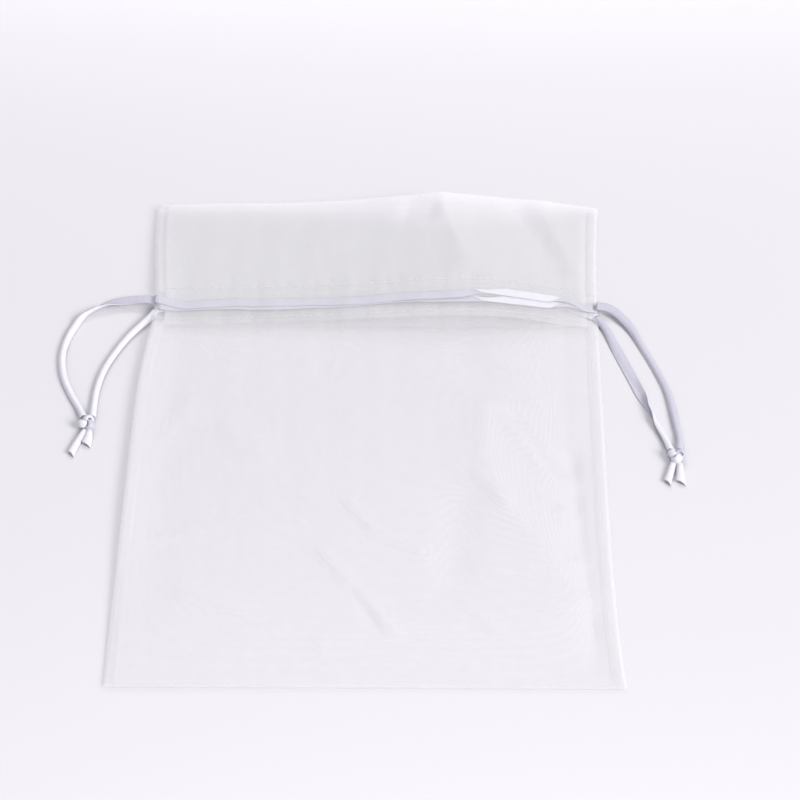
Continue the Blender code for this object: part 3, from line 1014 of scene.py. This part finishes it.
def tint(made, mask, low, high, socket):
    """Feeds a socket a colour that goes from low to high with a mask."""
    node = add_node(made.node_tree, "ShaderNodeMix", data_type="RGBA")
    colours = [entry for entry in node.inputs if entry.type == "RGBA"]
    for entry, colour in zip(colours, (low, high)):
        entry.default_value = (*colour, 1.0)
    made.node_tree.links.new(mask, node.inputs["Factor"])
    made.node_tree.links.new(node.outputs[2], socket)


def add_bump(made, height, distance, shader):
    bump = add_node(made.node_tree, "ShaderNodeBump")
    bump.inputs["Strength"].default_value = 0.6
    bump.inputs["Distance"].default_value = distance
    made.node_tree.links.new(height, bump.inputs["Height"])
    made.node_tree.links.new(bump.outputs[0], shader.inputs["Normal"])


# %% Organza
def make_organza():
    made, shader = new_material("organza", (0.80, 0.795, 0.83), 0.55)
    weft = add_weave(made, 3600.0, 3300.0, 0.42, 0.16)
    between(made, weft.outputs["Yarn"], 0.205, 0.305, shader.inputs["Alpha"])
    tint(made, weft.outputs["Streaks"], (0.80, 0.795, 0.815), (0.85, 0.845, 0.865),
         shader.inputs["Base Color"])
    shader.inputs["Specular IOR Level"].default_value = 0.4
    shader.inputs["Sheen Weight"].default_value = 0.15
    return made


organza = make_organza()
print(organza.name, "has", len(organza.node_tree.nodes), "nodes")


# %% Satin, face and back, and thread
def make_satin(name, low, high, roughness):
    made, shader = new_material(name, high, roughness)
    floats = add_weave(made, 2600.0, 9000.0, 0.45, 0.3)
    tint(made, floats.outputs["Streaks"], low, high, shader.inputs["Base Color"])
    add_bump(made, floats.outputs["Height"], 0.03 * MM, shader)
    shader.inputs["Specular IOR Level"].default_value = 0.5
    return made


satin_face = make_satin("satin_face", (0.61, 0.60, 0.66), (0.71, 0.70, 0.76), 0.35)
# the back is darker than the face: its colour is painted shade, for satin seen away from its sheen
satin_back_painted_shade = make_satin("satin_back_painted_shade", (0.44, 0.43, 0.51), (0.52, 0.51, 0.59), 0.42)


def make_thread():
    made, shader = new_material("thread", (0.74, 0.74, 0.77), 0.6)
    noise = add_node(made.node_tree, "ShaderNodeTexNoise")
    noise.inputs["Scale"].default_value = 2500.0
    place = add_node(made.node_tree, "ShaderNodeTexCoord")
    made.node_tree.links.new(place.outputs["Object"], noise.inputs["Vector"])
    tint(made, noise.outputs[0], (0.58, 0.58, 0.61), (0.68, 0.68, 0.70),
         shader.inputs["Base Color"])
    add_bump(made, noise.outputs[0], 0.05 * MM, shader)
    return made


thread = make_thread()
print("materials:", [m.name for m in (organza, satin_face, satin_back_painted_shade, thread)])

# %% Dress every piece
fabric_pieces = [*body_cloth.values(), *headers.values(), *allowances.values()]
thread_pieces = [*channel_stitches.values(), *seam_stitches.values()]
ribbon_pieces = [made for made, path in cords.values()] + [*tails.values(), *runs.values()]
for made in fabric_pieces:
    made.data.materials.append(organza)
for made in thread_pieces:
    made.data.materials.append(thread)
for made in ribbon_pieces:
    upside_down = made == runs[LEFT]        # this run's grid faces up, the others' faces down
    # each ribbon's back side gets the darker satin, whose colour is painted shade
    for satin in (satin_back_painted_shade, satin_face) if upside_down else (satin_face, satin_back_painted_shade):
        made.data.materials.append(satin)
for side, made in knots.items():
    for satin in (satin_face, satin_back_painted_shade):
        made.data.materials.append(satin)
    # these spans of the knot get the darker satin: painted shade on part of the knot
    first, last = KNOT_PAINTED_SHADE_SPANS[side]
    layer = made.data.uv_layers["cloth"].data
    for face in made.data.polygons:
        share = layer[face.loop_start].uv.x / KNOT_LENGTH
        face.material_index = int(first < share < last)
print(len(fabric_pieces), "fabric,", len(thread_pieces), "thread,", len(ribbon_pieces), "ribbon")

# %% [markdown]
# ## Join the looks to the moving frame
# The free ends, knots and tails ride on their loop, and the runs on their ribbon. The cloth,
# seams and stitches are fixed in place, and the engineering model's own pieces are hidden.

# %% Cords, knots and runs
for side, word in SIDES.items():
    loop = f"{word}_loop"
    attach(knots[side], loop)
    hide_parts(f"{word}_knot")
    for which in ("long", "short"):
        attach(tails[side, which], loop)
        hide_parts(f"{word}_{which}_tail")
    for wall in ("front", "back"):
        made, path = cords[side, wall]
        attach(made, loop)
        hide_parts(f"{word}_{wall}_strand")
        others = ([knots[side], tails[side, "long"], tails[side, "short"]]
                  if wall == "front" else [])
        round(route_length(path), 4)
    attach(runs[side], f"{word}_ribbon")
    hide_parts(f"{word}_drawstring")
    print(word, "loop carries its two ends, its knot and its tails")


def blend_header(made):
    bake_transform(made)


def blend_body(made):
    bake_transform(made)


for side, word in SIDES.items():
    blend_body(body_cloth[side])
    blend_body(allowances[side, "body"])
    blend_body(seam_stitches[side, "body"])
    blend_header(allowances[side, "header"])
    blend_header(seam_stitches[side, "header"])
    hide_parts("front_panel", "back_panel", "bottom_fold")
    for part in SEAM_SPANS:
        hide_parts(f"{word}_{part}_seam")
        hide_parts(f"{word}_{part}_stitches")
    for wall in ("front", "back"):
        blend_header(headers[side, wall])
        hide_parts(f"{wall}_panel", f"{wall}_facing", f"{wall}_mouth_fold")
        for row in ROWS_Y:
            blend_header(channel_stitches[side, wall, row])
            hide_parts(f"{wall}_{row}_stitches")

for side, word in SIDES.items():
    for wall in ("front", "back"):
        stations = header_at(wall == "front")[1]
        others = [channel_stitches[side, wall, row] for row in ROWS_Y]
        if wall == "front":
            others += [allowances[side, "header"], seam_stitches[side, "header"]]
        print(wall, word, "header is", round(1000 * stations[-1], 1), "mm long when flat")

# %% [markdown]
# ## Table and light
# A plain, nearly white table, and the light of a pale studio. An even fill comes from all
# round. One broad soft light stands at the right and a little in front, so that every raised
# edge has a soft shadow on its left. A small one behind brightens the header, and two low
# glows brighten the far and the near end of the table.

# %% Table
def add_floor():
    bm = bmesh.new()
    bmesh.ops.create_grid(bm, x_segments=1, y_segments=1, size=3.0)
    floor = new_piece("table_top", bm)
    made, shader = new_material("table_white", (0.63, 0.62, 0.645), 0.7)
    shader.inputs["Specular IOR Level"].default_value = 0.2
    floor.data.materials.append(made)
    print("table is", round(floor.dimensions.x), "m wide")


add_floor()


# %% Lights
def add_light(name, place, aim, size, watts, colour, spread=180):
    data = bpy.data.lights.new(name, "AREA")
    data.shape = "ELLIPSE"
    data.size, data.size_y = size
    data.energy = watts
    data.color = colour
    data.spread = math.radians(spread)
    light = bpy.data.objects.new(name, data)
    light.location = place
    light.rotation_euler = (Vector(aim) - Vector(place)).to_track_quat("-Z", "Y").to_euler()
    bpy.context.scene.collection.objects.link(light)
    print(name, "light:", watts, "W")


add_light("key", (2.00, -1.24, 1.60), (0, 0, 0), (1.3, 1.3), 78.0, (1.0, 0.99, 0.98))
add_light("back_fill", (-0.1, 1.0, 0.8), (0, 0.1, 0), (0.4, 0.4), 4.1, (1.0, 1.0, 1.0))
add_light("far_glow", (0.0, 0.50, 0.25), (0, 0.42, 0), (0.8, 0.16), 1.10, (1.0, 1.0, 1.0), 75)
add_light("near_glow", (0.0, -0.36, 0.30), (0, -0.30, 0), (0.5, 0.14), 0.20, (1.0, 1.0, 1.0), 90)

world = bpy.data.worlds.new("pale_room")
world.use_nodes = True
world.node_tree.nodes["Background"].inputs["Color"].default_value = (0.96, 0.95, 1.0, 1.0)
world.node_tree.nodes["Background"].inputs["Strength"].default_value = 0.70
bpy.context.scene.world = world
bpy.context.scene.view_settings.view_transform = "Standard"

# %% [markdown]
# ## Finish
# The scene is brought up to date.

# %% Finish
bpy.context.view_layer.update()
